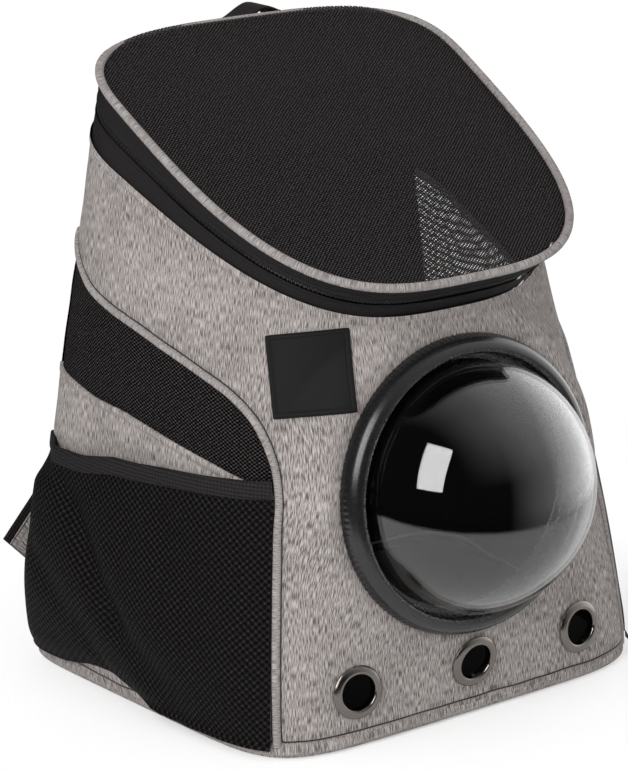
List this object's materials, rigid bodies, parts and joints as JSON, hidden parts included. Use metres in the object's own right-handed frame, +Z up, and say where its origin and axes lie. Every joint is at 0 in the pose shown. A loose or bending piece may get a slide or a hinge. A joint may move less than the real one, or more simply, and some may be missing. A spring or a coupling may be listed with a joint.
{
  "type": "pet carrier backpack",
  "caption": "Wearable cloth carrier for a small animal with a clear bubble window, mesh lid and side windows, side pockets and air holes.",
  "frame": {"origin": "centre of the flat underside", "axes": "+Z up; the bubble front faces -Y; +X is the right-hand side seen from the front"},
  "size_m": [0.3876, 0.4085, 0.4287],
  "materials": {
    "heather_cloth": "heather grey woven cloth",
    "black_net": "black mesh",
    "edging": "grey woven binding and piping",
    "black_webbing": "black woven tape",
    "black_plastic": "semi-gloss black",
    "nickel": "dull bright nickel",
    "clear_plastic": "clear, polished",
    "black_rubber": "satin black"
  },
  "bodies": {
    "root": {"front_panel": "heather_cloth", "back_panel": "heather_cloth", "side_panel_left": "heather_cloth", "side_panel_right": "heather_cloth", "side_window_left": "black_net", "side_window_right": "black_net", "side_piping_left": "edging", "side_piping_right": "edging", "base_panel": "heather_cloth", "base_piping": "edging", "zip_tape_lower": "black_webbing", "zip_coil": "black_plastic", "zip_tape_upper": "black_webbing", "zip_slider": "nickel", "lid_piping": "edging", "lid_net": "black_net", "bubble_ring": "black_plastic", "bubble_dome": "clear_plastic", "eyelet_left": "nickel", "eyelet_middle": "nickel", "eyelet_right": "nickel", "front_badge": "black_rubber", "side_pocket_left": "black_net", "side_pocket_right": "black_net", "pocket_band_left": "black_webbing", "pocket_band_right": "black_webbing", "shoulder_strap_left": "heather_cloth", "shoulder_strap_right": "heather_cloth", "strap_web_left": "black_webbing", "strap_web_right": "black_webbing", "strap_buckle_left": "black_plastic", "strap_buckle_right": "black_plastic", "strap_tab_left": "heather_cloth", "strap_tab_right": "heather_cloth", "carry_handle": "black_webbing"}
  },
  "joints": []
}
